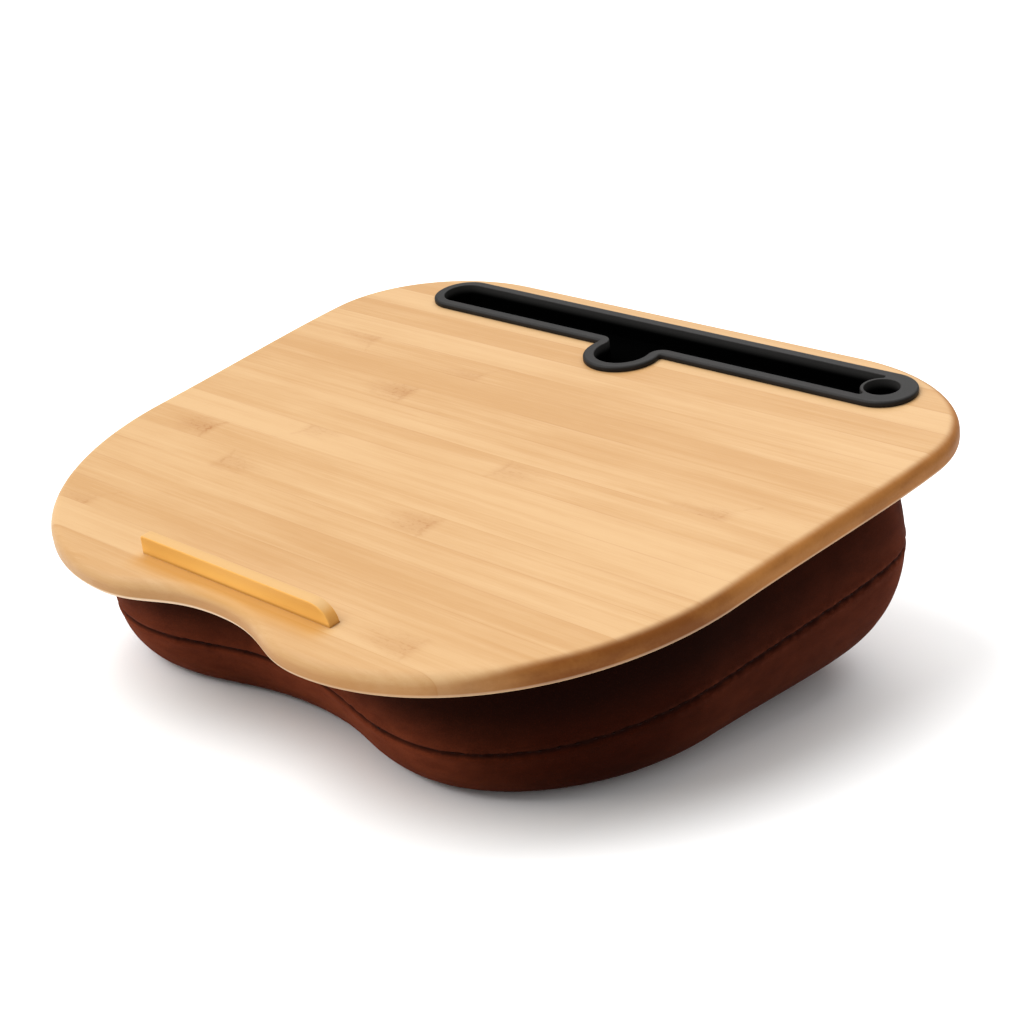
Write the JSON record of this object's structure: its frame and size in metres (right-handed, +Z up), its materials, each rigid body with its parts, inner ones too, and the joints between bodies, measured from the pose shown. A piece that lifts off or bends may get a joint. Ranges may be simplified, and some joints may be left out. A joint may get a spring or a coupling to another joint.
{
  "type": "laptop bed tray",
  "caption": "Lap desk with a bamboo laptop board, a drop-in accessory tray with finger notch and pen well, a stop ledge and a soft wedge cushion below.",
  "frame": {"origin": "on the floor under the middle of the lap desk's bounding box", "axes": "+X along the board's width to the user's right, +Y away from the user, +Z up"},
  "size_m": [0.44, 0.384, 0.1489],
  "materials": {
    "bamboo": "satin lacquered bamboo",
    "bamboo_ledge": "satin lacquered bamboo",
    "black_plastic": "matt moulded",
    "screw_steel": "zinc plated",
    "tape": "hook and loop pile",
    "brown_suede": "brushed suede microfibre",
    "bead_filling": "loose fill in a liner"
  },
  "bodies": {
    "desk": {"stave_01": "bamboo", "stave_02": "bamboo", "stave_03": "bamboo", "stave_04": "bamboo", "stave_05": "bamboo", "stave_06": "bamboo", "stave_07": "bamboo", "stave_08": "bamboo", "stave_09": "bamboo", "stave_10": "bamboo", "stave_11": "bamboo", "stave_12": "bamboo", "stave_13": "bamboo", "stave_14": "bamboo", "stave_15": "bamboo", "stave_16_left": "bamboo", "stave_16_right": "bamboo", "stave_17_left": "bamboo", "stave_17_right": "bamboo", "stave_18": "bamboo", "stop_ledge": "bamboo_ledge", "ledge_screw_1": "screw_steel", "ledge_screw_2": "screw_steel", "hook_tape_back_left": "tape", "hook_tape_back_right": "tape", "hook_tape_front_left": "tape", "hook_tape_front_right": "tape", "loop_tape_back_left": "tape", "loop_tape_back_right": "tape", "loop_tape_front_left": "tape", "loop_tape_front_right": "tape", "cushion_cover_top": "brown_suede", "cushion_cover_bottom": "brown_suede", "cushion_filling": "bead_filling"},
    "tray": {"tray_insert": "black_plastic"}
  },
  "joints": [
    {"name": "tray_lift", "type": "slide", "parent": "desk", "child": "tray", "axis": [0, -0.1736, 0.9848], "range_m": [0, 0.05]}
  ]
}
